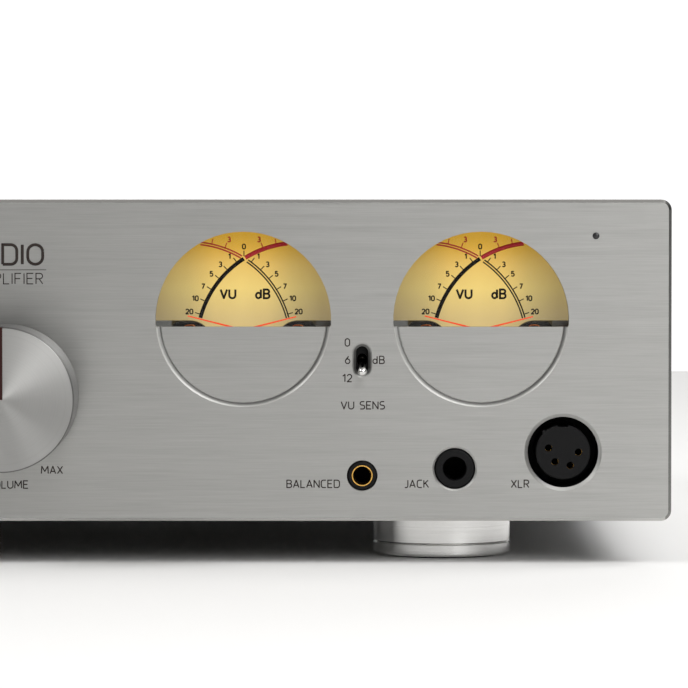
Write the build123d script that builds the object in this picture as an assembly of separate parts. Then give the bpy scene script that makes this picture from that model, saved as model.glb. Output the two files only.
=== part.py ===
"""Headphone amplifier with two cross-needle level meters.

Millimetres. +X is the width, +Y runs from the front panel to the rear, +Z is up, and Z = 0 is
the surface that the feet stand on. X = 0 is the centre of the front panel.

Two working frames carry the parts. In the front frame u is +X, v is height above the lower edge
of the front panel and w is the distance out of the panel, towards a person facing it. In the
rear frame u is -X, v is the same height and w is the distance out of the rear panel.
"""

from build123d import *
from math import sqrt
import os

# --- Overall size -------------------------------------------------------------------------------
PANEL_W = 380.0
PANEL_H = 92.0
PANEL_T = 10.0
PANEL_CORNER = 3.0
PANEL_CHAMFER = 0.9
FOOT_H = 12.4
BODY_DEPTH = 319.0
KNOB_REACH = 29.0
REAR_REACH = 12.0

# --- Chassis ------------------------------------------------------------------------------------
CASE_HALF_W = 186.0
SIDE_T = 4.0
RAIL_W = 10.0
CASE_BOTTOM = 2.0
CASE_TOP = 88.0
BOTTOM_T = 2.0
COVER_T = 2.5
REAR_T = 3.0
SUBPLATE_T = 2.0
SCREW_R = 1.5
SCREW_HEAD_R = 2.9
HEX_SOCKET_R = 1.2
VENT_W = 3.2
VENT_L = 74.0
VENT_PITCH = 8.0
VENT_COUNT = 13
VENT_BANK_U = 108.0
VENT_ROWS_Y = (-55.0, 75.0)

# --- Feet ---------------------------------------------------------------------------------------
FOOT_U = 125.0
FOOT_INSET = 40.0
FOOT_R = 20.0
FOOT_GROOVE_Z = 4.1
PAD_R = 17.0
PAD_PROUD = 0.5
PAD_T = 2.6
FOOT_BOLT_R = 2.0

# --- Meters -------------------------------------------------------------------------------------
METER_U = (67.5, 135.5)
METER_V = 57.7
WINDOW_R = 25.12
CHORD_DROP = 2.1
RING_INNER_R = 23.55
RING_DEPTH = 0.55
LIP_T = 3.0
CHAMBER_R = 29.5
CHAMBER_LOW = -15.0
CHAMBER_HIGH = 26.5
GLASS_T = 1.6
HOUSING_WALL = 1.2
HOUSING_DEPTH = 26.0
DIAL_W = -11.2
DIAL_T = 0.8
DIAL_SHOULDER = -0.6
PIVOT_U = 15.55
PIVOT_V = -7.1
MOVEMENT_R = 6.35
CRADLE = ((0, 0), (5.1, 0), (5.1, 5.0), (3.9, 6.25), (0, 6.25))
NOTCH_R = 6.5
MOVEMENT_FRONT = -9.7
LEVEL_NEEDLE_L = 32.6
SECOND_NEEDLE_L = 31.6
NEEDLE_REST = 14.1
LEVEL_NEEDLE_W = -6.6
SECOND_NEEDLE_W = -8.0
NEEDLE_T = 0.4
NEEDLE_PIN_R = 0.6
PIN_CLEARANCE = 0.05

# --- Volume control -----------------------------------------------------------------------------
VOLUME_V = 36.0
KNOB_R = 20.5
KNOB_GAP = 0.8
KNOB_CHAMFER = 0.45
SPINDLE_R = 3.0
SPINDLE_CLEARANCE = 0.05
BUSHING_R = 4.5
SET_SCREW_R = 1.5
SET_SCREW_W = 9.0

# --- Input selector -----------------------------------------------------------------------------
SELECTOR_U = -101.5
SELECTOR_V = 57.7
SELECTOR_R = 13.0
SELECTOR_REACH = 20.0

# --- Toggles ------------------------------------------------------------------------------------
TOGGLES = {"sensitivity": 101.5, "gain": -67.5}
TOGGLE_V = 46.06
SLOT_W = 3.5
SLOT_H = 7.9
SLOT_CHAMFER = 1.05
LEVER_TILT = 13.0
LEVER_L = 13.2
LEVER_PIVOT_W = -5.0
LEVER_BALL_R = 1.25

# --- Power button and small lenses --------------------------------------------------------------
BUTTON_U = -159.0
BUTTON_V = 19.7
BUTTON_R = 9.6
LENS_U = 168.3
LENS_V = 81.6
LENS_R = 1.0

# --- Headphone sockets --------------------------------------------------------------------------
BALANCED_U, BALANCED_V = 101.5, 13.0
BALANCED_HOLE_R = 4.4
BALANCED_BORE_R = 2.3
RING_OUT_R = 2.98
RING_MOUTH_R = 2.68
RING_THROAT_R = 2.34
RING_GOLD_DEPTH = 6.0
JACK_U, JACK_V = 128.0, 15.0
JACK_HOLE_R = 5.9
JACK_BORE_R = 3.3
JACK_DEPTH = 31.5
JACK_CONTACTS = (150, 215, 270)
XLR_U, XLR_V = 159.0, 19.7
XLR_HOLE_R = 10.14
XLR_BEVEL_R = 11.1
XLR_INSERT_R = 7.8
XLR_DEPTH = 22.0
INSERT_LIP_T = 1.2
CONTACT_HOLE_R = 1.05
XLR_CONTACTS = ((-4.15, 1.2), (4.4, 0.0), (-2.3, -2.75), (2.05, -3.8))

# --- Rear ---------------------------------------------------------------------------------------
INLET_U, INLET_V = 142.0, 45.0
INLET_FLANGE = (31.0, 58.0, 2.5)
INLET_BODY = (27.0, 47.0, 30.0)
SHROUD = (24.0, 16.4, 17.0)
SHROUD_V = -13.0
INLET_BLADES = ((-7.0, -2.0), (0.0, 2.0), (7.0, -2.0))
FUSE_V = 2.0
FUSE_SIZE = (22.0, 8.0, 24.0)
ROCKER_V = 15.0
ROCKER_SIZE = (19.0, 12.6, 9.0)
ROCKER_TILT = 12.0
PHONO_U = (-20.0, -40.0, -60.0)
PHONO_V = (62.0, 28.0)
PHONO_R = 4.15
PHONO_BORE_R = 1.65
REAR_XLR_U = (-100.0, -142.0)
REAR_XLR_V = 45.0
REAR_XLR_CONTACTS = ((-3.2, 1.6), (3.2, 1.6), (0.0, -3.2))
LATCH_V = 12.6
LATCH_SIZE = (7.0, 3.0)
EARTH_U, EARTH_V = 60.0, 20.0

# --- Inside -------------------------------------------------------------------------------------
CORE_X, CORE_Y = -105.0, 62.0
CORE_R, CORE_HOLE_R, CORE_H = 52.0, 20.0, 46.0
BOARD_T = 1.6
BOARD_V = 12.0
BOARDS = ((96.0, 120.0, 0.0, 60.0), (110.0, 150.0, 108.0, 30.0), (140.0, 44.0, 95.0, 134.0))

Y_FACE = KNOB_REACH - (KNOB_REACH + BODY_DEPTH + REAR_REACH) / 2
Y_BACK = Y_FACE + BODY_DEPTH
FRONT = Plane(origin=(0, Y_FACE, FOOT_H), x_dir=(1, 0, 0), z_dir=(0, -1, 0)).location
REAR = Plane(origin=(0, Y_BACK, FOOT_H), x_dir=(-1, 0, 0), z_dir=(0, 1, 0)).location
LOW = (Align.CENTER, Align.CENTER, Align.MIN)


# --- Small shared shapes ------------------------------------------------------------------------
def front(u, v, w=0.0):
    return FRONT * Pos(u, v, w)


def rear(u, v, w=0.0):
    return REAR * Pos(u, v, w)


def rod(r, w0, w1):
    """Cylinder along w from w0 to w1."""
    return Pos(0, 0, w0) * Cylinder(r, w1 - w0, align=LOW)


def tube(r_out, r_in, w0, w1):
    return rod(r_out, w0, w1) - rod(r_in, w0 - 1, w1 + 1)


def block(size_u, size_v, w0, w1):
    return Pos(0, 0, w0) * Box(size_u, size_v, w1 - w0, align=LOW)


def flare(r0, r1, w0, w1):
    """Cone frustum, radius r0 at w0 and r1 at w1."""
    return Pos(0, 0, w0) * Cone(r0, r1, w1 - w0, align=LOW)


def cut_circle(r, low, high, w0, w1):
    """Slice of a disc of radius r between the heights low and high."""
    return rod(r, w0, w1) & Pos(0, (low + high) / 2, 0) * block(3 * r, high - low, w0 - 1, w1 + 1)


def turned(points):
    """Solid of revolution about w from (radius, w) points."""
    outline = Plane.XZ * make_face(Polyline(*points, close=True))
    return revolve(outline, Axis.Z)


def segment_prism(r, drop, w0, w1, corner=0.0):
    """Disc cut off below -drop, with its two lower corners eased."""
    half = sqrt(r * r - drop * drop)
    arc = ThreePointArc((half, -drop), (0, r), (-half, -drop))
    face = make_face(arc + Line((-half, -drop), (half, -drop)))
    if corner:
        face = fillet(face.vertices(), corner)
    return Pos(0, 0, w0) * extrude(face, amount=w1 - w0)


def hex_screw(shank, recess=1.0):
    """Button-head screw: head above w = 0, shank below, hexagon socket in the head."""
    head = flare(SCREW_HEAD_R, SCREW_HEAD_R * 0.62, 0, 1.5)
    socket = extrude(RegularPolygon(HEX_SOCKET_R, 6), amount=recess)
    return head + rod(SCREW_R, -shank, 0) - Pos(0, 0, 1.5 - recess) * socket


def flush_screw(shank, recess=1.0):
    """Countersunk screw with its head level with w = 0."""
    head = flare(SCREW_R, SCREW_HEAD_R, -1.7, 0)
    socket = extrude(RegularPolygon(HEX_SOCKET_R, 6), amount=recess)
    return head + rod(SCREW_R, -shank, -1.7) - Pos(0, 0, -recess) * socket


def compound(solids):
    return Compound(children=list(solids))


# --- Chassis ------------------------------------------------------------------------------------
def meter_pocket(w0, w1):
    return cut_circle(CHAMBER_R, CHAMBER_LOW, CHAMBER_HIGH, w0, w1)


def ring_groove():
    """Groove round the lower half of a meter: steep inside, dished up to the rim outside."""
    groove = turned([(RING_INNER_R, 0.5), (RING_INNER_R, 0), (RING_INNER_R + 0.4, -RING_DEPTH),
                     (RING_INNER_R + 1.0, -0.7 * RING_DEPTH), (WINDOW_R, 0), (WINDOW_R, 0.5)])
    return groove & Pos(0, -CHORD_DROP, 0) * Box(80, 80, 8, align=(Align.CENTER, Align.MAX, Align.CENTER))


def slot_cut(w0, w1):
    return Pos(0, 0, w0) * extrude(SlotOverall(SLOT_H, SLOT_W, rotation=90), amount=w1 - w0)


def slot_bevel():
    """Sloping mouth of a toggle slot, wider at the panel face."""
    inner = Pos(0, 0, -SLOT_CHAMFER) * SlotOverall(SLOT_H, SLOT_W, rotation=90)
    grown = SLOT_CHAMFER + 0.03
    outer = SlotOverall(SLOT_H + 2 * grown, SLOT_W + 2 * grown, rotation=90)
    return loft([inner, Pos(0, 0, 0.03) * outer])


def front_panel():
    blank = extrude(RectangleRounded(PANEL_W, PANEL_H, PANEL_CORNER), amount=-PANEL_T)
    blank = chamfer(blank.faces().sort_by(Axis.Z)[-1].edges(), PANEL_CHAMFER)
    blank = Pos(0, PANEL_H / 2, 0) * blank
    for u in METER_U:
        at = Pos(u, METER_V, 0)
        blank -= at * segment_prism(WINDOW_R, CHORD_DROP, -LIP_T - 1, 1, 0.6)
        blank -= at * meter_pocket(-PANEL_T - 1, -LIP_T)
        blank -= at * ring_groove()
    for u in TOGGLES.values():
        at = Pos(u, TOGGLE_V, 0)
        blank -= at * slot_cut(-PANEL_T - 1, 1)
        blank -= at * slot_bevel()
        blank -= at * rod(6.4, -PANEL_T - 1, -LIP_T)
    for u, v, r, pocket in ((0, VOLUME_V, BUSHING_R + 0.1, 12.0),
                            (SELECTOR_U, SELECTOR_V, BUSHING_R + 0.1, 12.0),
                            (BALANCED_U, BALANCED_V, BALANCED_HOLE_R, 6.0),
                            (JACK_U, JACK_V, JACK_HOLE_R, 8.0),
                            (LENS_U, LENS_V, LENS_R, 2.0),
                            (-LENS_U, LENS_V, LENS_R, 2.0),
                            (XLR_U, XLR_V, XLR_HOLE_R, XLR_HOLE_R + 1.5),
                            (BUTTON_U, BUTTON_V, XLR_HOLE_R, XLR_HOLE_R + 1.5)):
        blank -= Pos(u, v, 0) * rod(r, -PANEL_T - 1, 1)
        blank -= Pos(u, v, 0) * rod(pocket, -PANEL_T - 1, -LIP_T - 1)
    blank -= Pos(JACK_U, JACK_V, 0) * flare(JACK_HOLE_R, JACK_HOLE_R + 0.5, -0.5, 0.001)
    for u, v in ((XLR_U, XLR_V), (BUTTON_U, BUTTON_V)):
        blank -= Pos(u, v, 0) * flare(XLR_HOLE_R, XLR_BEVEL_R, XLR_HOLE_R - XLR_BEVEL_R, 0.001)
    return front(0, 0) * blank


def front_subplate():
    width = 2 * (CASE_HALF_W - SIDE_T) - 0.2
    low = CASE_BOTTOM + BOTTOM_T
    high = CASE_TOP - COVER_T
    w0 = -PANEL_T - SUBPLATE_T
    plate = Pos(0, (low + high) / 2, 0) * block(width, high - low, w0, -PANEL_T)
    for side in (-1, 1):
        for edge in (low + 2.5, high - 2.5):
            plate -= Pos(side * (CASE_HALF_W - SIDE_T - RAIL_W / 2), edge, 0) * block(
                RAIL_W + 1, 5.4, w0 - 1, -PANEL_T + 1)
    for u in METER_U:
        plate -= Pos(u, METER_V, 0) * cut_circle(CHAMBER_R + HOUSING_WALL + 0.3, CHAMBER_LOW - 1.6,
                                                 CHAMBER_HIGH + 1.6, w0 - 1, -PANEL_T + 1)
    for u in TOGGLES.values():
        plate -= Pos(u, TOGGLE_V, 0) * block(6.4, 11.8, w0 - 1, -PANEL_T + 1)
    for u, v, r in ((0, VOLUME_V, BUSHING_R + 0.2), (SELECTOR_U, SELECTOR_V, BUSHING_R + 0.2),
                    (BALANCED_U, BALANCED_V, 5.0), (JACK_U, JACK_V, 7.0),
                    (XLR_U, XLR_V, XLR_HOLE_R + 1.4), (BUTTON_U, BUTTON_V, XLR_HOLE_R),
                    (LENS_U, LENS_V, 2.0), (-LENS_U, LENS_V, 2.0)):
        plate -= Pos(u, v, 0) * rod(r, w0 - 1, -PANEL_T + 1)
    return front(0, 0) * plate


def case_length():
    """Depth behind the front panel that the cover and bottom plate fill."""
    return BODY_DEPTH - PANEL_T - REAR_T


def side_panel(side):
    """Extruded side wall with a screw rail along its top and bottom."""
    wall = CASE_HALF_W - SIDE_T
    rail_low = CASE_BOTTOM + BOTTOM_T
    rail_high = CASE_TOP - COVER_T
    profile = Polyline((CASE_HALF_W, CASE_BOTTOM), (CASE_HALF_W, CASE_TOP), (wall, CASE_TOP),
                       (wall, rail_high), (wall - RAIL_W, rail_high), (wall - RAIL_W, rail_high - 4.5),
                       (wall, rail_high - 4.5), (wall, rail_low + 4.5), (wall - RAIL_W, rail_low + 4.5),
                       (wall - RAIL_W, rail_low), (wall, rail_low), (wall, CASE_BOTTOM), close=True)
    body = extrude(make_face(profile), amount=-(BODY_DEPTH - PANEL_T))
    body = chamfer(body.edges().filter_by(Axis.Z).sort_by(Axis.X)[-2:], 0.6)
    body = front(0, 0, -PANEL_T) * body
    rails_end = front(0, 0, -PANEL_T - case_length())
    for v in (rail_low + 2.25, rail_high - 2.25):
        body -= rails_end * Pos(wall - RAIL_W / 2, v, 0) * block(RAIL_W + 0.01, 6, -REAR_T - 1, 0)
    for place in cover_screw_places(1) + bottom_screw_places(1):
        body -= place * rod(SCREW_R, -6.2, 0)
    for place in rear_screw_places(1):
        body -= place * rod(SCREW_R, -10, 0)
    return body if side > 0 else mirror(body, about=Plane.YZ)


def cover_screw_places(side):
    u = side * (CASE_HALF_W - SIDE_T - RAIL_W / 2)
    return [Pos(u, y, FOOT_H + CASE_TOP) for y in (Y_FACE + 30, (Y_FACE + Y_BACK) / 2, Y_BACK - 20)]


def bottom_screw_places(side):
    u = side * (CASE_HALF_W - SIDE_T - RAIL_W / 2)
    return [Pos(u, y, FOOT_H + CASE_BOTTOM) * Rot(180, 0, 0)
            for y in (Y_FACE + 30, (Y_FACE + Y_BACK) / 2, Y_BACK - 20)]


def rear_screw_places(side):
    u = side * (CASE_HALF_W - SIDE_T - RAIL_W / 2)
    return [rear(-u, CASE_BOTTOM + BOTTOM_T + 2.25), rear(-u, CASE_TOP - COVER_T - 2.25)]


def screw_holes(body, places, depth):
    for place in places:
        body -= place * flare(SCREW_R, SCREW_HEAD_R, -1.7, 0)
        body -= place * rod(SCREW_R, -depth, 0)
    return body


def top_cover():
    width = 2 * (CASE_HALF_W - SIDE_T) - 0.3
    plate = front(0, 0) * Pos(0, CASE_TOP - COVER_T / 2, -PANEL_T - case_length() / 2) * Box(
        width, COVER_T, case_length() - 0.2)
    plate = chamfer(plate.faces().sort_by(Axis.Z)[-1].edges(), 0.4)
    slot = extrude(SlotOverall(VENT_L, VENT_W, rotation=90), amount=2 * COVER_T)
    half = (VENT_COUNT - 1) / 2
    for bank in (-VENT_BANK_U, VENT_BANK_U):
        for y in VENT_ROWS_Y:
            for index in range(VENT_COUNT):
                u = bank + (index - half) * VENT_PITCH
                plate -= Pos(u, y, FOOT_H + CASE_TOP - 1.5 * COVER_T) * slot
    return screw_holes(plate, cover_screw_places(1) + cover_screw_places(-1), 2 * COVER_T)


def bottom_plate():
    width = 2 * (CASE_HALF_W - SIDE_T) - 0.3
    plate = front(0, 0) * Pos(0, CASE_BOTTOM + BOTTOM_T / 2, -PANEL_T - case_length() / 2) * Box(
        width, BOTTOM_T, case_length() - 0.2)
    slot = extrude(SlotOverall(40, VENT_W, rotation=90), amount=2 * BOTTOM_T)
    for bank in (-60, 60):
        for index in range(9):
            u = bank + (index - 4) * VENT_PITCH
            plate -= Pos(u, 10, FOOT_H + CASE_BOTTOM - BOTTOM_T / 2) * slot
    for place in foot_places():
        plate -= place * Pos(0, 0, FOOT_H + CASE_BOTTOM) * rod(FOOT_BOLT_R, -1, BOTTOM_T + 1)
    return screw_holes(plate, bottom_screw_places(1) + bottom_screw_places(-1), 2 * BOTTOM_T)


def rear_panel():
    width = 2 * (CASE_HALF_W - SIDE_T) - 0.3
    high = CASE_TOP - CASE_BOTTOM
    plate = extrude(Rectangle(width, high), amount=-REAR_T)
    plate = chamfer(plate.faces().sort_by(Axis.Z)[-1].edges(), 0.4)
    plate = Pos(0, CASE_BOTTOM + high / 2, 0) * plate
    plate -= Pos(INLET_U, INLET_V, 0) * block(INLET_BODY[0] + 0.2, INLET_BODY[1] + 0.2, -9, 9)
    for v in (-1, 1):
        plate -= Pos(INLET_U, INLET_V + v * 26.2, 0) * rod(SCREW_R, -9, 9)
    for u, v in phono_places():
        plate -= Pos(u, v, 0) * rod(PHONO_R + 0.35, -9, 9)
    for u in REAR_XLR_U:
        plate -= Pos(u, REAR_XLR_V, 0) * rod(11.6, -9, 9)
        plate -= Pos(u, REAR_XLR_V + LATCH_V, 0) * block(LATCH_SIZE[0] + 1, LATCH_SIZE[1] + 1, -9, 9)
        for su, sv in ((-9.5, 12.0), (9.5, -12.0)):
            plate -= Pos(u + su, REAR_XLR_V + sv, 0) * rod(SCREW_R, -9, 9)
    plate -= Pos(EARTH_U, EARTH_V, 0) * rod(2.0, -9, 9)
    plate = rear(0, 0) * plate
    for place in rear_screw_places(1) + rear_screw_places(-1):
        plate -= place * rod(SCREW_R, -9, 9)
    return plate


def cover_screws():
    return compound(place * flush_screw(6.0)
                    for place in cover_screw_places(1) + cover_screw_places(-1)
                    + bottom_screw_places(1) + bottom_screw_places(-1))


def rear_screws():
    places = rear_screw_places(1) + rear_screw_places(-1)
    places += [rear(INLET_U, INLET_V + v * 26.2, INLET_FLANGE[2]) for v in (-1, 1)]
    places += [rear(u + su, REAR_XLR_V + sv, 2.0)
               for u in REAR_XLR_U for su, sv in ((-9.5, 12.0), (9.5, -12.0))]
    return compound(place * hex_screw(8.0) for place in places)


# --- Feet ---------------------------------------------------------------------------------------
def foot_places():
    return [Pos(side * FOOT_U, y, 0) for y in (Y_FACE + FOOT_INSET, Y_BACK - FOOT_INSET)
            for side in (-1, 1)]


def foot():
    """Turned foot with a V groove near its base, bored for the bolt and recessed for the pad."""
    top = FOOT_H + CASE_BOTTOM
    groove = (FOOT_GROOVE_Z - 0.35, FOOT_GROOVE_Z, FOOT_GROOVE_Z + 0.35)
    body = turned([(0, PAD_PROUD), (FOOT_R - 0.6, PAD_PROUD), (FOOT_R, PAD_PROUD + 0.6),
                   (FOOT_R, groove[0]), (FOOT_R - 0.5, groove[1]), (FOOT_R, groove[2]),
                   (FOOT_R, top - 0.5), (FOOT_R - 0.5, top), (0, top)])
    body -= rod(PAD_R, 0, PAD_T)
    return body - rod(4.0, 0, 8.0) - rod(FOOT_BOLT_R, 0, top + 1)


def foot_pad():
    pad = tube(PAD_R, 6.0, 0, PAD_T)
    return chamfer(pad.edges().filter_by(GeomType.CIRCLE).group_by(Axis.Z)[0].sort_by(SortBy.RADIUS)[-1], 0.5)


def foot_bolt():
    top = FOOT_H + CASE_BOTTOM + BOTTOM_T
    bolt = rod(3.5, 4.2, 8.0) + rod(FOOT_BOLT_R, 8.0, top + 4.5)
    bolt -= Pos(0, 0, 4.2) * extrude(RegularPolygon(1.7, 6), amount=2.0)
    nut = Pos(0, 0, top) * extrude(RegularPolygon(3.9, 6), amount=3.2)
    return [bolt, nut - rod(FOOT_BOLT_R, 0, top + 9)]


# --- Meters -------------------------------------------------------------------------------------
def meter(u):
    return front(u, METER_V)


def meter_housing(u):
    w_back = -PANEL_T - HOUSING_DEPTH
    shell = cut_circle(CHAMBER_R + HOUSING_WALL, CHAMBER_LOW - 1.2, CHAMBER_HIGH + 1.2, w_back, -PANEL_T)
    shell -= cut_circle(CHAMBER_R, CHAMBER_LOW, CHAMBER_HIGH, w_back + HOUSING_WALL, -PANEL_T + 1)
    for side in (-1, 1):
        bar = Pos(side * (PIVOT_U + 10.4), DIAL_SHOULDER - 2.2, 0) * block(10.2, 4.4, DIAL_W, DIAL_W + 0.9)
        bar -= Pos(side * PIVOT_U, PIVOT_V, 0) * rod(NOTCH_R, w_back, 0)
        shell += bar & rod(CHAMBER_R + 0.5, w_back, -PANEL_T)
    return meter(u) * shell


def dial_face():
    """Dial outline: a round top, low shoulders and a deeper tongue between the two movements."""
    disc = Circle(CHAMBER_R - 0.3)
    top = Pos(0, (CHAMBER_HIGH - 0.3 + DIAL_SHOULDER) / 2) * Rectangle(
        80, CHAMBER_HIGH - 0.3 - DIAL_SHOULDER)
    tongue = Pos(0, -6.0) * Rectangle(2 * PIVOT_U, 12.0)
    for side in (-1, 1):
        tongue -= Pos(side * PIVOT_U, PIVOT_V) * Circle(NOTCH_R)
    return (disc & top) + tongue


def meter_dial(u):
    return meter(u) * Pos(0, 0, DIAL_W - DIAL_T) * extrude(dial_face(), amount=DIAL_T)


def meter_window(u):
    glass = cut_circle(CHAMBER_R - 0.1, CHAMBER_LOW + 0.1, CHAMBER_HIGH - 0.1, -LIP_T - GLASS_T, -LIP_T)
    return meter(u) * glass


def movement(side):
    """Moving-coil can with its cradle plate: a ring wall, a coil on its former and a bearing boss."""
    back = -PANEL_T - HOUSING_DEPTH + HOUSING_WALL
    can = rod(MOVEMENT_R, back, MOVEMENT_FRONT)
    cradle = make_face(Polyline(*[(side * x, y) for x, y in CRADLE], close=True))
    can += Pos(0, 0, MOVEMENT_FRONT - 0.25) * extrude(cradle, amount=-1.0, dir=(0, 0, 1))
    can -= tube(MOVEMENT_R - 1.2, 1.9, MOVEMENT_FRONT - 5, MOVEMENT_FRONT + 1)
    coil = Pos(0, MOVEMENT_R - 2.3, MOVEMENT_FRONT - 5) * Box(3.4, 2.2, 4.2, align=LOW)
    can += coil
    return can - rod(NEEDLE_PIN_R + PIN_CLEARANCE, MOVEMENT_FRONT - 6, 9)


def meter_movements(u):
    return compound(meter(u) * Pos(side * PIVOT_U, PIVOT_V, 0) * movement(side) for side in (-1, 1))


def needle(u, side, w, length):
    """Tapered pointer with a hub and pivot pin, at its resting angle.

    side = 1 has its pivot on the right of the dial and points left."""
    arm = Polyline((-5.5, -0.5), (-5.5, 0.5), (0, 0.36), (length, 0.17), (length, -0.17), (0, -0.36),
                   close=True)
    pointer = Pos(0, 0, w) * extrude(make_face(arm), amount=NEEDLE_T)
    pointer += rod(1.5, w - 0.2, w + NEEDLE_T + 0.3)
    pointer += rod(NEEDLE_PIN_R, MOVEMENT_FRONT - 5.5, w)
    turn = 180 - NEEDLE_REST if side > 0 else NEEDLE_REST
    return meter(u) * Pos(side * PIVOT_U, PIVOT_V, 0) * Rot(0, 0, turn) * pointer


# --- Rotary controls ----------------------------------------------------------------------------
def knob(radius, reach, pointer_w):
    """Turned knob with a stepped bore, a skirt recess at the back and a groove for its pointer."""
    outline = [(0, KNOB_GAP), (radius - 0.6, KNOB_GAP), (radius, KNOB_GAP + 0.6),
               (radius, reach - KNOB_CHAMFER), (radius - KNOB_CHAMFER, reach), (0, reach)]
    body = turned(outline)
    body -= tube(radius - 2.5, SPINDLE_R + 4.0, KNOB_GAP - 1, reach - 6.0)
    body -= rod(SPINDLE_R, KNOB_GAP - 1, reach - 7.0)
    body -= rod(BUSHING_R + 3.6, KNOB_GAP - 1, KNOB_GAP + 5.0)
    body -= Pos(0, 0, SET_SCREW_W) * Rot(90, 0, 0) * rod(SET_SCREW_R, 0, radius + 1)
    groove = Pos(0, radius / 2 + 1, reach - 0.5) * Box(pointer_w, radius + 2, 2, align=LOW)
    groove += Pos(0, radius, reach - 4.0) * Box(pointer_w, 1.0, 8, align=LOW)
    return body - groove


def spindle(top):
    """Round spindle from the control body out to the inside of the knob."""
    shaft = rod(SPINDLE_R, -18.0, top)
    return shaft - Pos(0, SPINDLE_R, top - 8) * Box(8, 1.0, 9, align=(Align.CENTER, Align.CENTER, Align.MIN))


def rotary_body(size, depth):
    """Potentiometer or switch: case behind the sub-plate, threaded bushing and nut."""
    plate = -PANEL_T - SUBPLATE_T
    case = block(size, size, plate - depth, plate)
    case = fillet(case.edges().filter_by(Axis.Z), 2.0)
    case += rod(BUSHING_R, plate, 1.6)
    nut = Pos(0, 0, -PANEL_T) * extrude(RegularPolygon(7.0, 6), amount=2.2)
    return case + nut - rod(SPINDLE_R + SPINDLE_CLEARANCE, -18.1, 9)


def set_screw():
    """Grub screw in the side of the volume knob, pressing on the spindle's flat."""
    screw = Pos(0, 0, SET_SCREW_W) * Rot(90, 0, 0) * rod(SET_SCREW_R, SPINDLE_R, 9.5)
    return front(0, VOLUME_V) * screw


# --- Toggles ------------------------------------------------------------------------------------
def toggle_lever(u):
    """Bat lever, ball-ended, at the lowest of its three positions."""
    bat = flare(0.85, 1.05, 0, LEVER_L) + Pos(0, 0, LEVER_L) * Sphere(LEVER_BALL_R) + Sphere(1.7)
    return front(u, TOGGLE_V, LEVER_PIVOT_W) * Rot(LEVER_TILT, 0, 0) * bat


def toggle_switch(u):
    """Slim switch body, with a bushing whose slot guides the lever."""
    case = block(5.8, 11.2, -26.0, -PANEL_T + 0.1)
    bush = rod(4.9, -PANEL_T, -LIP_T - 0.2)
    bush -= Pos(0, 0, LEVER_PIVOT_W) * Sphere(2.0)
    for angle in (-LEVER_TILT, 0, LEVER_TILT):
        bush -= Pos(0, 0, LEVER_PIVOT_W) * Rot(angle, 0, 0) * rod(1.45, 0, 6)
    pins = [Pos(0, v, -30.0) * Box(1.2, 0.8, 4.0, align=LOW) for v in (-4.7, 0, 4.7)]
    switch = case + bush
    for pin in pins:
        switch += pin
    return front(u, TOGGLE_V) * (switch - Pos(0, 0, LEVER_PIVOT_W) * Sphere(2.0))


# --- Power button and lenses --------------------------------------------------------------------
def power_button():
    """Round button with a shallow dish and a plunger that runs in the switch."""
    cap = turned([(0, -8.0), (BUTTON_R, -8.0), (BUTTON_R, 0.9), (BUTTON_R - 0.6, 1.5), (8.0, 1.5),
                  (7.4, 1.1), (0, 1.1)])
    return front(BUTTON_U, BUTTON_V) * (cap + rod(2.0, -20.0, -8.0))


def power_switch():
    case = block(16, 16, -40.0, -14.0)
    return front(BUTTON_U, BUTTON_V) * (case - rod(2.05, -26.0, 0))


def lens(u):
    """Small lens with a domed front and a flange behind the panel."""
    body = rod(LENS_R - 0.05, -8.0, -0.2) + rod(1.7, -9.0, -4.2)
    dome = Pos(0, 0, -1.9) * Sphere(2.0) & rod(LENS_R - 0.05, -0.3, 1)
    return front(u, LENS_V) * (body + dome)


# --- Headphone sockets --------------------------------------------------------------------------
def nose(r, face, ease):
    """Round nose of a socket with its front edge rounded off."""
    return fillet(rod(r, -8.0, face).edges().filter_by(GeomType.CIRCLE).group_by(Axis.Z)[-1], ease)


def balanced_socket():
    """4.4 mm five-pole socket: nose through the panel and a square body behind."""
    body = nose(BALANCED_HOLE_R - 0.15, -0.25, 0.7) + rod(4.9, -12.5, -4.2)
    body += block(12, 12, -32.0, -12.1)
    body -= rod(RING_OUT_R, -RING_GOLD_DEPTH, 1)
    return front(BALANCED_U, BALANCED_V) * (body - rod(BALANCED_BORE_R, -24.0, 1))


def balanced_ring():
    """Gold lead-in of the 4.4 mm socket, tapering in and notched on its inner edge."""
    face = 0.1
    ring = rod(RING_OUT_R, -RING_GOLD_DEPTH, face)
    ring -= flare(RING_THROAT_R, RING_MOUTH_R, -RING_GOLD_DEPTH, face)
    key = Rot(0, 0, 50) * Pos(RING_MOUTH_R, 0, -0.6) * Box(0.45, 0.7, 2, align=LOW)
    return front(BALANCED_U, BALANCED_V) * (ring - key)


def jack_socket():
    """6.35 mm stereo jack: round nose, bore and body block."""
    body = nose(JACK_HOLE_R - 0.3, -0.3, 0.5) + rod(6.8, -12.5, -4.2)
    body += block(17, 17, -34.0, -12.1)
    body -= rod(JACK_BORE_R, -JACK_DEPTH, 1) + flare(JACK_BORE_R, JACK_BORE_R + 0.2, -0.8, -0.29)
    for angle in JACK_CONTACTS:
        body -= Rot(0, 0, angle) * Pos(JACK_BORE_R + 0.35, 0, -30) * Box(1.3, 1.3, 27, align=LOW)
    return front(JACK_U, JACK_V) * body


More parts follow.
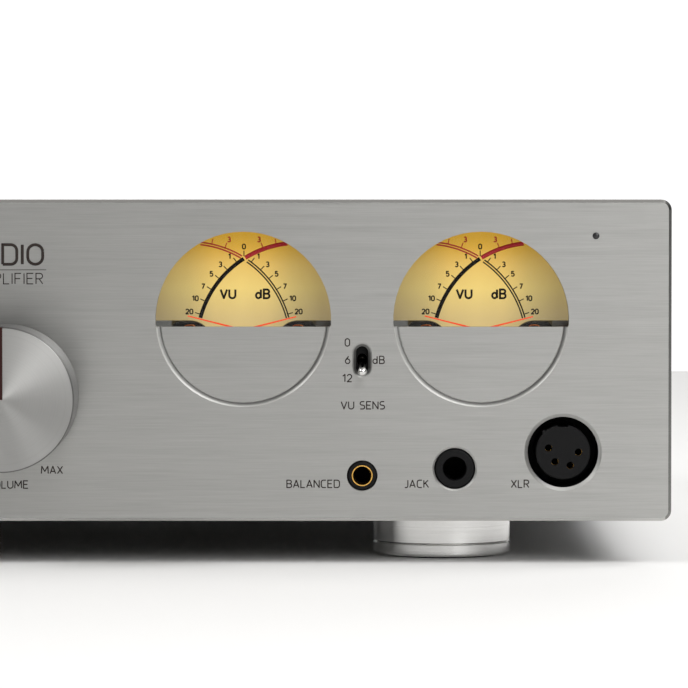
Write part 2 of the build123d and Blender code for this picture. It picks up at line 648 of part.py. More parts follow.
def xlr_insert(contacts, face, depth):
    """Round insert with its contact holes, the keyway at the top and a small rib beside it."""
    insert = rod(XLR_INSERT_R, -depth, face)
    insert = chamfer(insert.edges().filter_by(GeomType.CIRCLE).group_by(Axis.Z)[-1], 0.3)
    insert += Rot(0, 0, 133) * Pos(XLR_INSERT_R + 0.1, 0, 0) * rod(0.5, -depth + 1, face - 0.4)
    insert -= Pos(0, XLR_INSERT_R + 1.6, -depth + 4) * Box(3.0, 4.4, depth + 4, align=LOW)
    for u, v in contacts:
        insert -= Pos(u, v, 0) * (rod(1.35, 3 - depth, face - INSERT_LIP_T) + rod(CONTACT_HOLE_R, -2, face + 1))
    return insert


def xlr_socket():
    """Four-pole outlet: shell behind the panel, closed by its base, with the insert inside."""
    outer = XLR_HOLE_R + 1.3
    shell = tube(outer, XLR_HOLE_R, -XLR_DEPTH, -4.2) + rod(outer, -XLR_DEPTH - 3, -XLR_DEPTH)
    insert = xlr_insert(XLR_CONTACTS, -0.4, XLR_DEPTH)
    return compound(front(XLR_U, XLR_V) * solid for solid in (shell, insert))


def contacts():
    """Plated contacts of the jack, the XLR sockets, the phono sockets and the mains inlet."""
    solids = [front(JACK_U, JACK_V) * Rot(0, 0, angle) * Pos(JACK_BORE_R + 0.7, 0, -29)
              * Box(0.4, 1.1, 25, align=LOW) for angle in JACK_CONTACTS]
    solids += [front(XLR_U + u, XLR_V + v) * tube(1.3, 1.0, -18.0, -3.2) for u, v in XLR_CONTACTS]
    solids += [rear(bank + u, REAR_XLR_V + v) * tube(1.3, 1.0, -13.0, -0.1)
               for bank in REAR_XLR_U for u, v in REAR_XLR_CONTACTS]
    solids += [rear(u, v) * tube(PHONO_BORE_R - 0.03, 1.2, 1.02, 10.0) for u, v in phono_places()]
    bottom = INLET_FLANGE[2] - SHROUD[2]
    solids += [rear(INLET_U + u, INLET_V + SHROUD_V + v) * block(2.0, 4.0, bottom, -1.5)
               for u, v in INLET_BLADES]
    return compound(solids)


# --- Rear ---------------------------------------------------------------------------------------
def mains_inlet():
    """Inlet module: flange, shrouded recess with three blades, fuse bay and rocker bay."""
    flange_u, flange_v, flange_w = INLET_FLANGE
    body_u, body_v, depth = INLET_BODY
    body = fillet(block(flange_u, flange_v, 0, flange_w).edges().filter_by(Axis.Z), 2.0)
    body += block(body_u, body_v, -depth, 0)
    shroud_u, shroud_v, shroud_depth = SHROUD
    cavity = Pos(0, SHROUD_V, 0) * block(shroud_u, shroud_v, flange_w - shroud_depth, flange_w + 1)
    top_edges = cavity.edges().filter_by(Axis.Z).group_by(Axis.Y)[-1]
    body -= chamfer(top_edges, 5.0)
    fuse_u, fuse_v, fuse_w = FUSE_SIZE
    body -= Pos(0, FUSE_V, 0) * block(fuse_u + 0.6, fuse_v + 0.6, -fuse_w - 1, flange_w + 1)
    rocker_u, rocker_v, rocker_w = ROCKER_SIZE
    body -= Pos(0, ROCKER_V, 0) * block(rocker_u + 0.8, rocker_v + 2.4, -rocker_w, flange_w + 1)
    for side in (-1, 1):
        body -= Pos(0, side * 26.2, 0) * rod(SCREW_R, -1, flange_w + 1)
    return rear(INLET_U, INLET_V) * body


def fuse_drawer():
    fuse_u, fuse_v, fuse_w = FUSE_SIZE
    tray = block(fuse_u, fuse_v, -fuse_w, INLET_FLANGE[2] + 0.8)
    tray -= Pos(0, 1.0, 0) * block(fuse_u - 4, fuse_v, -fuse_w + 2, -2.0)
    grip = Pos(0, -fuse_v / 2, 0) * block(8.0, 2.0, INLET_FLANGE[2] - 0.4, INLET_FLANGE[2] + 2)
    return rear(INLET_U, INLET_V + FUSE_V) * (tray - grip)


def power_rocker():
    """Rocker resting with its upper half pressed in."""
    half_v = ROCKER_SIZE[1] / 2
    profile = Polyline((-half_v, -2.0), (-half_v, 3.2), (0, 2.0), (half_v, 3.2), (half_v, -2.0),
                       (0, -4.2), close=True)
    face = Plane.YZ * make_face(profile)
    body = extrude(face, amount=ROCKER_SIZE[0] / 2, both=True)
    return rear(INLET_U, INLET_V + ROCKER_V) * Rot(-ROCKER_TILT, 0, 0) * body


def phono_places():
    return [(u, v) for u in PHONO_U for v in PHONO_V]


def phono_jack():
    body = rod(PHONO_R, -10.0, REAR_REACH) + Pos(0, 0, 1.0) * extrude(RegularPolygon(6.4, 6), amount=2.0)
    body = chamfer(body.faces().sort_by(Axis.Z)[-1].edges(), 0.4)
    return body - rod(3.1, 1.0, REAR_REACH + 1)


def phono_jacks():
    return compound(rear(u, v) * phono_jack() for u, v in phono_places())


def phono_insulators():
    """Coloured shoulder washer under each nut, and the insulator round the centre contact."""
    solids = []
    for u, v in phono_places():
        solids.append(rear(u, v) * tube(6.2, PHONO_R + 0.02, 0, 0.98))
        solids.append(rear(u, v) * tube(3.08, PHONO_BORE_R, 1.02, REAR_REACH - 0.6))
    return compound(solids)


def rear_xlr():
    """Three-pole input: flanged shell with the insert and a bay for the latch tab."""
    flange = fillet(block(26.0, 31.0, 0, 2.0).edges().filter_by(Axis.Z), 2.5)
    body = flange + rod(11.5, -20.0, 0) - rod(XLR_HOLE_R, -17.0, 3)
    body -= Pos(0, LATCH_V, 0) * block(LATCH_SIZE[0] + 0.8, LATCH_SIZE[1] + 0.8, -8.0, 3)
    for su, sv in ((-9.5, 12.0), (9.5, -12.0)):
        body -= Pos(su, sv, 0) * rod(SCREW_R, -1, 3)
    return body, xlr_insert(REAR_XLR_CONTACTS, 1.2, 17.0)


def xlr_inputs():
    return compound(rear(u, REAR_XLR_V) * solid for u in REAR_XLR_U for solid in rear_xlr())


def xlr_latch(u):
    """Press tab above the socket that frees the plug."""
    tab = block(*LATCH_SIZE, -5.0, 3.4)
    tab = fillet(tab.faces().sort_by(Axis.Z)[-1].edges(), 0.5)
    return rear(u, REAR_XLR_V + LATCH_V) * tab


def earth_terminal():
    post = rod(2.0, -12.0, 11.0)
    nut = rod(5.0, 0.4, 7.5)
    for index in range(12):
        nut -= Rot(0, 0, index * 30) * Pos(5.3, 0, 0) * rod(0.7, 0, 8)
    return compound([rear(EARTH_U, EARTH_V) * (post + rod(4.0, 7.5, 8.2)),
                     rear(EARTH_U, EARTH_V) * (nut - rod(2.0, 0, 9))])


# --- Inside -------------------------------------------------------------------------------------
def floor_at(x, y):
    return Pos(x, y, FOOT_H + CASE_BOTTOM + BOTTOM_T)


def transformer():
    """Toroidal transformer, wound outside rounded, with its clamp disc and bolt."""
    ring = tube(CORE_R, CORE_HOLE_R, 2.0, 2.0 + CORE_H)
    ring = fillet(ring.edges().filter_by(GeomType.CIRCLE), 7.0)
    disc = tube(30.0, 3.0, 2.0 + CORE_H, 4.0 + CORE_H)
    bolt = rod(3.0, 0, 9.0 + CORE_H)
    return compound(floor_at(CORE_X, CORE_Y) * solid for solid in (ring, disc, bolt))


def circuit_boards():
    """Power, amplifier and input boards on round standoffs."""
    solids = []
    for width, depth, x, y in BOARDS:
        solids.append(floor_at(x, y) * Pos(0, 0, BOARD_V) * Box(width, depth, BOARD_T, align=LOW))
        for sx in (-1, 1):
            for sy in (-1, 1):
                corner = floor_at(x + sx * (width / 2 - 4), y + sy * (depth / 2 - 4))
                solids.append(corner * rod(2.5, 0, BOARD_V))
    return compound(solids)


def capacitors():
    solids = []
    for column in range(4):
        for row in range(3):
            at = floor_at(-33 + 22 * column, 24 + 30 * row) * Pos(0, 0, BOARD_V + BOARD_T)
            solids.append(at * chamfer(rod(9.0, 0, 36.0).edges().filter_by(GeomType.CIRCLE), 0.8))
    return compound(solids)


def heatsink(x, y):
    base = Box(100, 6, 38, align=LOW)
    for index in range(11):
        base += Pos(-47.5 + 9.5 * index, 10, 0) * Box(2.2, 16, 38, align=LOW)
    return floor_at(x, y) * Pos(0, 0, BOARD_V + BOARD_T) * base


def heatsinks():
    return compound([heatsink(108, -14), heatsink(108, 50)])


def write(name, shape):
    export_step(shape, os.path.join("parts", name + ".step"))


def main():
    os.makedirs("parts", exist_ok=True)
    write("front_panel", front_panel())
    write("front_subplate", front_subplate())
    write("side_panel_right", side_panel(1))
    write("side_panel_left", side_panel(-1))
    write("top_cover", top_cover())
    write("bottom_plate", bottom_plate())
    write("rear_panel", rear_panel())
    write("cover_screws", cover_screws())
    write("rear_screws", rear_screws())

    for name, place in zip(("front_left", "front_right", "rear_left", "rear_right"), foot_places()):
        write("foot_" + name, place * foot())
    write("foot_pads", compound(place * foot_pad() for place in foot_places()))
    write("foot_bolts", compound(place * solid for place in foot_places() for solid in foot_bolt()))

    for name, u in zip(("left", "right"), METER_U):
        write("meter_housing_" + name, meter_housing(u))
        write("meter_dial_" + name, meter_dial(u))
        write("meter_window_" + name, meter_window(u))
        write("meter_movements_" + name, meter_movements(u))
        write("level_needle_" + name, needle(u, 1, LEVEL_NEEDLE_W, LEVEL_NEEDLE_L))
        write("second_needle_" + name, needle(u, -1, SECOND_NEEDLE_W, SECOND_NEEDLE_L))

    write("volume_knob", front(0, VOLUME_V) * knob(KNOB_R, KNOB_REACH, 1.0))
    write("volume_spindle", front(0, VOLUME_V) * spindle(KNOB_REACH - 8.0))
    write("volume_control", front(0, VOLUME_V) * rotary_body(27.0, 24.0))
    write("volume_set_screw", set_screw())
    write("selector_knob", front(SELECTOR_U, SELECTOR_V) * knob(SELECTOR_R, SELECTOR_REACH, 0.8))
    write("selector_spindle", front(SELECTOR_U, SELECTOR_V) * spindle(SELECTOR_REACH - 8.0))
    write("selector_switch", front(SELECTOR_U, SELECTOR_V) * rotary_body(25.0, 14.0))

    for name, u in TOGGLES.items():
        write(name + "_lever", toggle_lever(u))
        write(name + "_switch", toggle_switch(u))
    write("power_button", power_button())
    write("power_switch", power_switch())
    write("power_lamp", lens(-LENS_U))
    write("infrared_lens", lens(LENS_U))

    write("balanced_socket", balanced_socket())
    write("balanced_ring", balanced_ring())
    write("jack_socket", jack_socket())
    write("xlr_socket", xlr_socket())
    write("contacts", contacts())

    write("mains_inlet", mains_inlet())
    write("fuse_drawer", fuse_drawer())
    write("power_rocker", power_rocker())
    write("phono_jacks", phono_jacks())
    write("phono_insulators", phono_insulators())
    write("xlr_inputs", xlr_inputs())
    write("xlr_latch_left", xlr_latch(REAR_XLR_U[0]))
    write("xlr_latch_right", xlr_latch(REAR_XLR_U[1]))
    write("earth_terminal", earth_terminal())

    write("transformer", transformer())
    write("circuit_boards", circuit_boards())
    write("capacitors", capacitors())
    write("heatsinks", heatsinks())


if __name__ == "__main__":
    main()
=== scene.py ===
"""Looks for the headphone amplifier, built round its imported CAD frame.

Blender works in metres. Places on the two panels are given in millimetres: u across, v up from
the front panel's lower edge and w out of the panel, as a person facing that panel sees them.
"""

import math

import bpy
from mathutils import Matrix, Vector


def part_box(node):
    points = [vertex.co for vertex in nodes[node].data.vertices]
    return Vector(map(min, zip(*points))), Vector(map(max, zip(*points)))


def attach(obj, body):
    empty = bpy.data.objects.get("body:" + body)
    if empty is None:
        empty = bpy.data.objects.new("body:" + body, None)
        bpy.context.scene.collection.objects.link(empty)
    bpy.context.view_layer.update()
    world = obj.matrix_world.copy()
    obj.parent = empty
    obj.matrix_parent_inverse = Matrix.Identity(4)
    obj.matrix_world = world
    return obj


MM = 0.001

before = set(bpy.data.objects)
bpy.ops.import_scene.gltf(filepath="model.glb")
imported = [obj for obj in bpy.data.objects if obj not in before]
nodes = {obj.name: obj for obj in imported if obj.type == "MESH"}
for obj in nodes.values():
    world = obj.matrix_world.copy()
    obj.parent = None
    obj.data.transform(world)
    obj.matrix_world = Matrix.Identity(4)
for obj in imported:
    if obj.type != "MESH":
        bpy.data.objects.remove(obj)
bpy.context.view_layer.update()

panel_low, panel_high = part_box("front_panel")
FACE_Y = panel_low.y
BACK_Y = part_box("rear_panel")[1].y
BASE_Z = panel_low.z


def front(u, v, w=0.0):
    return Vector((u * MM, FACE_Y - w * MM, BASE_Z + v * MM))


def rear(u, v, w=0.0):
    return Vector((-u * MM, BACK_Y + w * MM, BASE_Z + v * MM))


def middle(node):
    low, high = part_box(node)
    return (low + high) / 2


# --- Shader kit ---------------------------------------------------------------------------------
class Finish:
    """A Principled material with short calls for the nodes that feed it."""

    def __init__(self, name, colour, metallic=0.0, roughness=0.5, **settings):
        self.material = bpy.data.materials.new(name)
        self.material.use_nodes = True
        self.tree = self.material.node_tree
        self.surface = self.tree.nodes["Principled BSDF"]
        self.surface.inputs["Base Color"].default_value = (*colour, 1.0)
        self.surface.inputs["Metallic"].default_value = metallic
        self.surface.inputs["Roughness"].default_value = roughness
        for key, value in settings.items():
            self.surface.inputs[key.replace("_", " ")].default_value = value

    def node(self, kind, inputs=None, **properties):
        made = self.tree.nodes.new("ShaderNode" + kind)
        for key, value in properties.items():
            setattr(made, key, value)
        for key, value in (inputs or {}).items():
            if isinstance(value, bpy.types.NodeSocket):
                self.tree.links.new(value, made.inputs[key])
            else:
                made.inputs[key].default_value = value
        return made

    def feed(self, socket, source):
        self.tree.links.new(source, self.surface.inputs[socket])

    def place(self, centre=(0, 0, 0), scale=(1, 1, 1)):
        """Object coordinates moved so that centre is the origin, then scaled (per metre)."""
        coords = self.node("TexCoord").outputs["Object"]
        moved = self.node("VectorMath", {0: coords, 1: tuple(centre)}, operation="SUBTRACT").outputs[0]
        return self.node("VectorMath", {0: moved, 1: scale}, operation="MULTIPLY").outputs[0]

    def noise(self, scale, detail=2.0, roughness=0.5):
        return self.node("TexNoise", {"Vector": self.place(scale=scale), "Scale": 1.0, "Detail": detail,
                                      "Roughness": roughness}).outputs[0]

    def math(self, operation, a, b=0.0):
        return self.node("Math", {0: a, 1: b}, operation=operation).outputs[0]

    def spread(self, source, low, high, start=0.3, end=0.7):
        return self.node("MapRange", {"Value": source, "From Min": start, "From Max": end,
                                      "To Min": low, "To Max": high}).outputs[0]

    def ramp(self, source, stops, interpolation="LINEAR"):
        made = self.node("ValToRGB", {0: source})
        made.color_ramp.interpolation = interpolation
        band = made.color_ramp.elements
        while len(band) < len(stops):
            band.new(0.5)
        for element, (position, colour) in zip(band, stops):
            element.position = position
            element.color = (*colour, 1.0)
        return made.outputs[0]

    def multiply(self, a, b):
        return self.node("Mix", {0: 1.0, 6: a, 7: b}, data_type="RGBA", blend_type="MULTIPLY").outputs[2]

    def bump(self, height, distance, strength=1.0):
        made = self.node("Bump", {"Height": height, "Distance": distance, "Strength": strength})
        self.feed("Normal", made.outputs[0])


def shade(colour, factor):
    return tuple(min(1.0, channel * factor) for channel in colour)


def grained(name, colour, metallic, roughness, grain=3000.0, depth=0.00002, vary=0.08, **settings):
    """Plain finish with a fine grain, slow colour drift and uneven gloss."""
    look = Finish(name, colour, metallic, roughness, **settings)
    slow = look.noise((40.0,) * 3, 3.0)
    look.feed("Base Color", look.ramp(slow, ((0.3, shade(colour, 1 - vary)), (0.7, shade(colour, 1 + vary)))))
    fine = look.noise((grain,) * 3, 2.0)
    look.feed("Roughness", look.spread(fine, roughness * 0.85, roughness * 1.15))
    look.bump(fine, depth)
    return look.material


half_height = (panel_high.z - panel_low.z) / 2
# Millimetres: in from the panel's edge, back from its face, and up from its middle.
BORDER = (2.0, 1.6)
CUT_DEPTH = (0.015, 0.03)
SOCKET_ROW_TOP = (-13.7, -13.3)
CUT_ROUGHNESS = 0.6
BEVEL_ROUGHNESS = 0.2


def brushed(name, colour, roughness, length, pitch, depth):
    """Panel brushed along x on its front face, with painted highlight on its bevels and its top and bottom
    chamfers, and painted shade deeper in its holes and grooves and on its left and right end chamfers.

    length and pitch are the streaks' size in metres."""
    look = Finish(name, colour, 1.0, roughness, Anisotropic=0.7)
    look.surface.inputs["Anisotropic Rotation"].default_value = 0.25
    streak = look.noise((1 / length, 1 / pitch, 1 / pitch), 3.0, 0.6)
    drift = look.noise((12.0, 12.0, 700.0), 2.0)
    tone = look.math("ADD", look.math("MULTIPLY", streak, 0.7), look.math("MULTIPLY", drift, 0.3))
    spot = look.node("SeparateXYZ", {0: look.place((0, FACE_Y, panel_low.z + half_height), (1 / MM,) * 3)})
    cut = look.spread(spot.outputs["Y"], 0.0, 1.0, *CUT_DEPTH)
    ends, edges = (look.spread(look.math("ABSOLUTE", spot.outputs[axis]), 0.0, 1.0,
                               half / MM - BORDER[0], half / MM - BORDER[1])
                   for axis, half in (("X", panel_high.x), ("Z", half_height)))
    border = look.math("MAXIMUM", ends, edges)
    smooth = look.spread(border, CUT_ROUGHNESS, BEVEL_ROUGHNESS, 0.0, 1.0)
    rough = look.spread(tone, roughness * 0.85, roughness * 1.15)
    look.feed("Roughness", look.spread(cut, rough, smooth, 0.0, 1.0))
    metal = look.ramp(tone, ((0.35, shade(colour, 0.93)), (0.65, shade(colour, 1.07))))
    # Painted shade: the cut faces at the panel's left and right ends are darkened to 0.45 of the metal's
    # colour.
    metal = look.multiply(metal, look.ramp(look.math("MULTIPLY", ends, cut), (
        (0.0, (1.0,) * 3), (1.0, (0.45,) * 3))))
    # Painted highlight and shade on the other cut faces: up to 1.3 times lighter at the face's level, falling
    # to 0.45 from 0.5 mm deep; in the socket row all of it starts 1 mm deeper.
    sockets = look.spread(spot.outputs["Z"], 1.0, 0.0, *SOCKET_ROW_TOP)
    inward = look.math("MULTIPLY", spot.outputs["Y"], look.math("SUBTRACT", 1.0, border))
    level = look.math("SUBTRACT", look.math("ADD", inward, 0.1), sockets)
    painted_bevel_light = look.ramp(level, ((0.0, shade(colour, 1.1)), (0.1, shade(colour, 1.3)),
                              (0.35, shade(colour, 1.15)), (0.6, shade(colour, 0.45))))
    bright = look.math("MULTIPLY", cut, look.math("SUBTRACT", 1.0, ends))
    look.feed("Base Color", look.node("Mix", {0: bright, 6: metal, 7: painted_bevel_light}, data_type="RGBA").outputs[2])
    tangent = look.node("Tangent", direction_type="RADIAL", axis="Z")
    look.feed("Tangent", tangent.outputs[0])
    look.bump(look.math("MULTIPLY", streak, look.math("SUBTRACT", 1.0, cut)), depth)
    return look.material


def turned(name, node, axis, colour, roughness, pitch, depth, anisotropic=0.85, rim=1.0):
    """Lathe-turned metal: rings of the given pitch round the node's own axis.

    The colour is multiplied by rim at the edge of the face, and less so further behind it: painted shade on
    the rim and side."""
    look = Finish(name, colour, 1.0, roughness, Anisotropic=anisotropic)
    look.surface.inputs["Anisotropic Rotation"].default_value = 0.25
    flat = (1, 0, 1) if axis == "Y" else (1, 1, 0)
    radius = look.node("VectorMath", {0: look.place(middle(node), flat)}, operation="LENGTH").outputs["Value"]
    along = look.node("SeparateXYZ", {0: look.place()}).outputs[axis]
    ring = look.math("ADD", look.math("MULTIPLY", radius, 1 / pitch), look.math("MULTIPLY", along, 1 / pitch))
    groove = look.node("TexNoise", {"W": ring, "Scale": 1.0, "Detail": 2.0}, noise_dimensions="1D").outputs[0]
    metal = look.ramp(groove, ((0.35, shade(colour, 0.98)), (0.65, shade(colour, 1.02))))
    depth_in = look.node("SeparateXYZ", {0: look.place()}).outputs["Y"]
    behind = look.math("SUBTRACT", depth_in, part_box(node)[0].y)
    # Painted shade: darkened to rim on the chamfer just behind the face, a little less on the side further
    # back.
    painted_rim_shade = look.math("ADD", look.spread(behind, 1.0, rim, 0.00003, 0.0002),
                     look.spread(behind, 0.0, 0.15 * (1.0 - rim), 0.0015, 0.006))
    look.feed("Base Color", look.multiply(metal, painted_rim_shade))
    look.feed("Roughness", look.spread(groove, roughness * 0.85, roughness * 1.15))
    tangent = look.node("Tangent", direction_type="RADIAL", axis=axis)
    look.feed("Tangent", tangent.outputs[0])
    look.bump(groove, depth)
    return look.material


def dial_finish(name, centre):
    """Back-lit gold dial, its backlight painted as emission and, dimmer, into the base colour: palest at the
    middle, orange at the top, dim towards the sides.
    """
    look = Finish(name, (0.5, 0.4, 0.15), 0.0, 0.6, Emission_Strength=1.02)
    spot = look.node("SeparateXYZ", {0: look.place(centre, (40.0, 40.0, 40.0))})
    rise = look.ramp(spot.outputs["Z"], ((0.0, (0.66, 0.49, 0.20)), (0.35, (0.83, 0.60, 0.18)),
                                         (0.6, (0.78, 0.51, 0.125)), (0.8, (0.66, 0.37, 0.042)),
                                         (0.95, (0.54, 0.295, 0.024))))
    side = look.math("ABSOLUTE", look.math("ADD", spot.outputs["X"], 0.04))
    fall = look.ramp(side, ((0.0, (1.0, 1.0, 1.0)), (0.3, (0.93, 0.92, 0.92)), (0.6, (0.66, 0.68, 0.75)),
                            (0.95, (0.45, 0.46, 0.56))))
    paint = look.multiply(rise, fall)
    speck = look.ramp(look.noise((2600.0,) * 3), ((0.3, (0.96, 0.96, 0.96)), (0.7, (1.0, 1.0, 1.0))))
    paint = look.multiply(paint, speck)
    look.feed("Emission Color", paint)
    dim = look.ramp(spot.outputs["Y"], ((0.0, (0.15,) * 3), (1.0, (0.12,) * 3)))
    look.feed("Base Color", look.multiply(paint, dim))
    look.bump(look.noise((1800.0,) * 3), 0.00001)
    return look.material


def glass_finish(name):
    """Thin clear pane: seen through, with a mirror film that grows towards grazing angles."""
    material = bpy.data.materials.new(name)
    material.use_nodes = True
    tree = material.node_tree
    tree.nodes.remove(tree.nodes["Principled BSDF"])
    clear = tree.nodes.new("ShaderNodeBsdfTransparent")
    clear.inputs[0].default_value = (0.98, 0.99, 0.985, 1.0)
    mirror = tree.nodes.new("ShaderNodeBsdfAnisotropic")
    mirror.inputs["Roughness"].default_value = 0.03
    facing = tree.nodes.new("ShaderNodeFresnel")
    facing.inputs["IOR"].default_value = 1.25
    mix = tree.nodes.new("ShaderNodeMixShader")
    tree.links.new(facing.outputs[0], mix.inputs[0])
    tree.links.new(clear.outputs[0], mix.inputs[1])
    tree.links.new(mirror.outputs[0], mix.inputs[2])
    tree.links.new(mix.outputs[0], tree.nodes["Material Output"].inputs[0])
    return material


def tipped(name, tip, split, shaft):
    """Lever pale metal in front of the plane y = split and painted dark behind it: painted shade on the
    shaft.
    """
    look = Finish(name, tip, 1.0, 0.1)
    depth = look.node("SeparateXYZ", {0: look.place((0, split - 0.5, 0))}).outputs["Y"]
    paint = look.ramp(depth, ((0.0, tip), (0.5, shaft)), "CONSTANT")
    grain = look.noise((900.0,) * 3)
    look.feed("Base Color", look.multiply(paint, look.ramp(grain, ((0.3, (0.94,) * 3), (0.7, (1.0,) * 3)))))
    look.bump(grain, 0.000002)
    return look.material


def two_tone(name, split, upper, lower, roughness):
    """Moulded plastic, one colour above the height split and another below it."""
    look = Finish(name, upper, 0.0, roughness)
    height = look.node("SeparateXYZ", {0: look.place((0, 0, split - 0.5))}).outputs["Z"]
    paint = look.ramp(height, ((0.0, lower), (0.5, upper)), "CONSTANT")
    drift = look.ramp(look.noise((300.0,) * 3), ((0.3, (0.94,) * 3), (0.7, (1.0,) * 3)))
    look.feed("Base Color", look.multiply(paint, drift))
    look.bump(look.noise((2500.0,) * 3), 0.00001)
    return look.material


def glowing(name, colour, strength):
    look = Finish(name, shade(colour, 0.2), 0.0, 0.25, Emission_Strength=strength)
    drift = look.noise((900.0,) * 3)
    look.feed("Emission Color", look.ramp(drift, ((0.3, shade(colour, 0.9)), (0.7, colour))))
    return look.material


# --- Line drawing: lettering, ticks and arcs --------------------------------------------------
def arc(cx, cy, rx, ry, start, end, steps=10):
    """Points along an ellipse, from start to end degrees."""
    angles = [math.radians(start + (end - start) * i / steps) for i in range(steps + 1)]
    return [(cx + rx * math.cos(a), cy + ry * math.sin(a)) for a in angles]


BOWL = arc(0.3, 0.72, 0.28, 0.28, 90, 180, 5) + arc(0.3, 0.28, 0.28, 0.28, 180, 270, 5)
P_BOWL = [(0, 0), (0, 1), (0.36, 1)] + arc(0.36, 0.74, 0.26, 0.26, 90, -90) + [(0, 0.48)]
# Each letter is its width and its strokes, for a capital height of 1.
LETTERS = {
    " ": (0.35, []),
    "0": (0.6, [arc(0.3, 0.7, 0.3, 0.3, 0, 180) + arc(0.3, 0.3, 0.3, 0.3, 180, 360) + [(0.6, 0.7)]]),
    "1": (0.36, [[(0, 0.76), (0.3, 1), (0.3, 0)]]),
    "2": (0.6, [arc(0.3, 0.71, 0.29, 0.29, 170, -40) + [(0, 0), (0.6, 0)]]),
    "3": (0.6, [arc(0.29, 0.75, 0.26, 0.25, 150, -90) + arc(0.29, 0.25, 0.31, 0.25, 90, -150)]),
    "5": (0.6, [[(0.56, 1), (0.1, 1), (0.06, 0.56)] + arc(0.29, 0.32, 0.31, 0.32, 125, -150)]),
    "6": (0.62, [arc(0.31, 0.31, 0.31, 0.31, 150, -210, 16) + [(0.44, 1)]]),
    "7": (0.58, [[(0, 1), (0.58, 1), (0.18, 0)]]),
    "A": (0.74, [[(0, 0), (0.37, 1), (0.74, 0)], [(0.12, 0.3), (0.62, 0.3)]]),
    "B": (0.64, [P_BOWL[:2] + [(0.36, 1)] + arc(0.36, 0.76, 0.24, 0.24, 90, -90) + [(0, 0.52)],
                 [(0.36, 0.52)] + arc(0.38, 0.26, 0.26, 0.26, 90, -90) + [(0, 0), (0, 0.52)]]),
    "C": (0.66, [[(0.66, 1), (0.3, 1)] + BOWL + [(0.66, 0)]]),
    "D": (0.72, [[(0, 0), (0, 1), (0.4, 1)] + arc(0.42, 0.7, 0.3, 0.3, 90, 0, 5)
                 + arc(0.42, 0.3, 0.3, 0.3, 0, -90, 5) + [(0, 0)]]),
    "E": (0.6, [[(0.6, 1), (0, 1), (0, 0), (0.6, 0)], [(0, 0.52), (0.52, 0.52)]]),
    "F": (0.58, [[(0.58, 1), (0, 1), (0, 0)], [(0, 0.5), (0.5, 0.5)]]),
    "G": (0.7, [[(0.66, 1), (0.3, 1)] + BOWL + [(0.7, 0), (0.7, 0.48), (0.42, 0.48)]]),
    "I": (0.04, [[(0.02, 0), (0.02, 1)]]),
    "J": (0.42, [[(0.42, 1), (0.42, 0.24)] + arc(0.2, 0.24, 0.22, 0.24, 0, -90, 5) + [(0, 0)]]),
    "K": (0.64, [[(0, 0), (0, 1)], [(0.58, 1), (0.02, 0.46)], [(0.2, 0.62), (0.64, 0)]]),
    "L": (0.54, [[(0, 1), (0, 0), (0.54, 0)]]),
    "M": (0.94, [[(0, 0), (0.06, 1), (0.47, 0.3), (0.88, 1), (0.94, 0)]]),
    "N": (0.7, [[(0, 0), (0, 1), (0.7, 0), (0.7, 1)]]),
    "O": (0.76, [arc(0.38, 0.64, 0.38, 0.36, 0, 180) + arc(0.38, 0.36, 0.38, 0.36, 180, 360)
                 + [(0.76, 0.64)]]),
    "P": (0.62, [P_BOWL]),
    "R": (0.64, [P_BOWL, [(0.3, 0.48), (0.64, 0)]]),
    "S": (0.62, [[(0.58, 1), (0.26, 1)] + arc(0.26, 0.76, 0.25, 0.24, 90, 270, 8)
                 + arc(0.36, 0.26, 0.26, 0.26, 90, -90, 8) + [(0, 0)]]),
    "T": (0.66, [[(0, 1), (0.66, 1)], [(0.33, 1), (0.33, 0)]]),
    "U": (0.7, [[(0, 1), (0, 0.32)] + arc(0.35, 0.32, 0.35, 0.32, 180, 360) + [(0.7, 1)]]),
    "V": (0.74, [[(0, 1), (0.37, 0), (0.74, 1)]]),
    "W": (1.0, [[(0, 1), (0.24, 0), (0.5, 0.85), (0.76, 0), (1.0, 1)]]),
    "X": (0.68, [[(0, 0), (0.68, 1)], [(0, 1), (0.68, 0)]]),
    "d": (0.64, [arc(0.27, 0.31, 0.27, 0.31, 0, 360, 16), [(0.56, 0), (0.56, 0.5), (0.56, 1)]]),
}
GAP = 0.26


def text_width(text):
    return sum(LETTERS[c][0] for c in text) + GAP * (len(text) - 1)


def word(text, u, v, height, stroke, align="left"):
    """Strokes for a word whose baseline starts, centres or ends at (u, v), in millimetres."""
    share = {"left": 0.0, "centre": 0.5, "right": 1.0}[align]
    pen = u - share * text_width(text) * height
    lines = []
    for letter in text:
        width, strokes = LETTERS[letter]
        lines += [([(pen + x * height, v + y * height) for x, y in points], stroke) for points in strokes]
        pen += (width + GAP) * height
    return lines


INK_RISE = 0.1
SHARP_TURN = math.radians(35)


def straight_runs(points, stroke):
    """A line cut where it turns sharply, each cut end run on to fill the corner."""
    corners = [Vector(point) for point in points]
    runs, run = [], [corners[0]]
    for before, here, after in zip(corners, corners[1:], corners[2:]):
        into, out = here - before, after - here
        turn = into.angle(out, 0.0)
        if turn < SHARP_TURN:
            run.append(here)
            continue
        overrun = 0.4 * stroke * math.sin(turn)
        runs.append(run + [here + into.normalized() * overrun])
        run = [here - out.normalized() * overrun]
    return runs + [run + [corners[-1]]]


